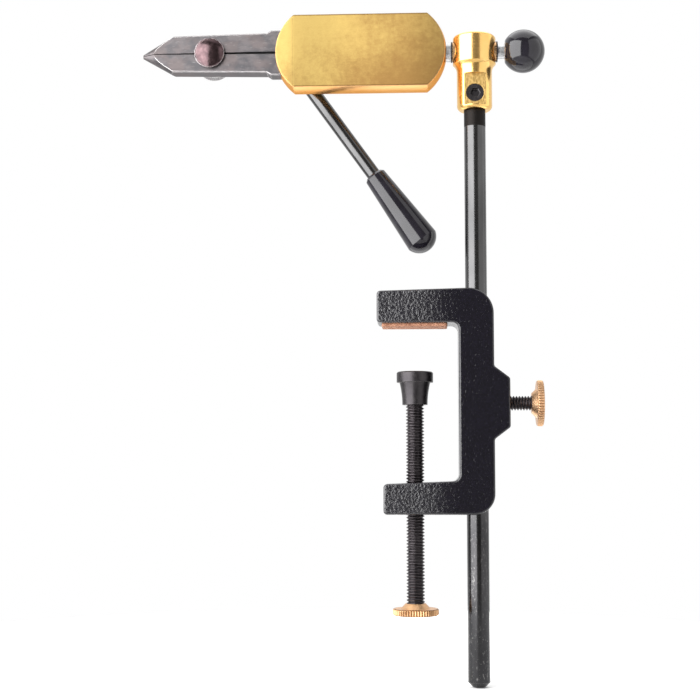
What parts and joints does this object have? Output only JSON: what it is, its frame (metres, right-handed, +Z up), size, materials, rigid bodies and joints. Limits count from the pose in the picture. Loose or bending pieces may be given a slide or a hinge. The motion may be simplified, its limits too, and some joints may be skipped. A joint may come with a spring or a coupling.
{
  "type": "fly tying vise",
  "caption": "Clamp-on fly tying vise: C-clamp with sliding stem, rotary brass head, and two pivoting jaws closed by a cam lever.",
  "frame": {"origin": "on the table surface, the middle of the leather face under the clamp's upper arm, on the clamp screw's axis", "axes": "+Z up along the stem, +X back from the clamp's mouth to the stem, so the jaws point to -X, +Y towards the cam lever's side"},
  "size_m": [0.1799, 0.0279, 0.2953],
  "materials": {
    "black_cast": "black crackle enamel",
    "pad_leather": "undyed leather",
    "black_steel": "black oxide",
    "stem_steel": "dark ground bar",
    "jaw_steel": "satin hardened steel",
    "bright_steel": "bright turned steel",
    "body_brass": "brushed brass",
    "polished_brass": "polished brass",
    "knurled_brass": "knurled brass",
    "bronze": "plain bearing bronze",
    "phenolic": "glossy black phenolic"
  },
  "bodies": {
    "clamp": {"clamp_frame": "black_cast", "table_pad": "pad_leather"},
    "pad": {"clamp_pad": "black_steel", "pad_pin": "bright_steel"},
    "screw": {"clamp_screw": "black_steel", "clamp_thumb_nut": "knurled_brass"},
    "plug": {"lock_plug": "bronze"},
    "lock": {"lock_screw": "black_steel", "lock_knob": "knurled_brass"},
    "stem": {"stem": "stem_steel"},
    "yoke": {"yoke": "polished_brass", "yoke_set_screw": "black_steel", "front_bush": "bronze", "rear_bush": "bronze", "thrust_washer": "black_steel", "rear_washer": "black_steel"},
    "head": {"head_body": "body_brass", "head_shaft": "bright_steel", "tension_sleeve": "bright_steel", "jaw_screw": "jaw_steel", "jaw_washer": "bright_steel", "jaw_spring": "bright_steel"},
    "lever": {"cam_shaft": "stem_steel", "lever_rod": "stem_steel", "lever_handle": "phenolic", "handle_insert": "knurled_brass"},
    "upper_jaw": {"upper_jaw": "jaw_steel"},
    "lower_jaw": {"lower_jaw": "jaw_steel"},
    "jaw_nut": {"jaw_nut": "jaw_steel"},
    "ball": {"ball_knob": "phenolic", "ball_insert": "knurled_brass"}
  },
  "joints": [
    {"name": "stem_slide", "type": "slide", "parent": "clamp", "child": "stem", "axis": [0, 0, 1], "range_m": [-0.005, 0.065]},
    {"name": "head_swivel", "type": "hinge", "parent": "stem", "child": "yoke", "pos_m": [0.027, 0, 0.1233], "axis": [0, 0, 1], "continuous": true},
    {"name": "head_rotary", "type": "hinge", "parent": "yoke", "child": "head", "pos_m": [0.027, 0, 0.1233], "axis": [1, 0, 0], "continuous": true},
    {"name": "cam_lever", "type": "hinge", "parent": "head", "child": "lever", "pos_m": [-0.056, 0, 0.1233], "axis": [0, 1, 0], "range_deg": [0, 65]},
    {"name": "upper_jaw_pivot", "type": "hinge", "parent": "head", "child": "upper_jaw", "pos_m": [-0.091, 0, 0.1233], "axis": [0, 1, 0], "range_deg": [0, 0.66], "deforming": ["jaw_spring"]},
    {"name": "lower_jaw_pivot", "type": "hinge", "parent": "head", "child": "lower_jaw", "pos_m": [-0.091, 0, 0.1233], "axis": [0, 1, 0], "range_deg": [-0.66, 0], "deforming": ["jaw_spring"]},
    {"name": "jaw_nut_turn", "type": "hinge", "parent": "head", "child": "jaw_nut", "pos_m": [-0.091, 0, 0.1233], "axis": [0, 1, 0], "range_deg": [-180, 180]},
    {"name": "tension_knob_turn", "type": "hinge", "parent": "head", "child": "ball", "pos_m": [0.027, 0, 0.1233], "axis": [1, 0, 0], "range_deg": [-180, 180]},
    {"name": "clamp_travel", "type": "slide", "parent": "clamp", "child": "pad", "axis": [0, 0, 1], "range_m": [-0.0325, 0.0193]},
    {"name": "clamp_turn", "type": "hinge", "parent": "pad", "child": "screw", "pos_m": [0, 0, -0.0195], "axis": [0, 0, 1], "range_deg": [-8300, 4930]},
    {"name": "lock_travel", "type": "slide", "parent": "clamp", "child": "plug", "axis": [1, 0, 0], "range_m": [0, 0.0026]},
    {"name": "lock_turn", "type": "hinge", "parent": "plug", "child": "lock", "pos_m": [0.037, 0, -0.0333], "axis": [1, 0, 0], "range_deg": [0, 740]}
  ],
  "couplings": [
    {"joint": "upper_jaw_pivot", "follows": "cam_lever", "ratio": 0.01},
    {"joint": "lower_jaw_pivot", "follows": "cam_lever", "ratio": -0.01},
    {"joint": "clamp_turn", "follows": "clamp_travel", "rad_per_m": 4453},
    {"joint": "lock_turn", "follows": "lock_travel", "rad_per_m": 4947.4}
  ]
}
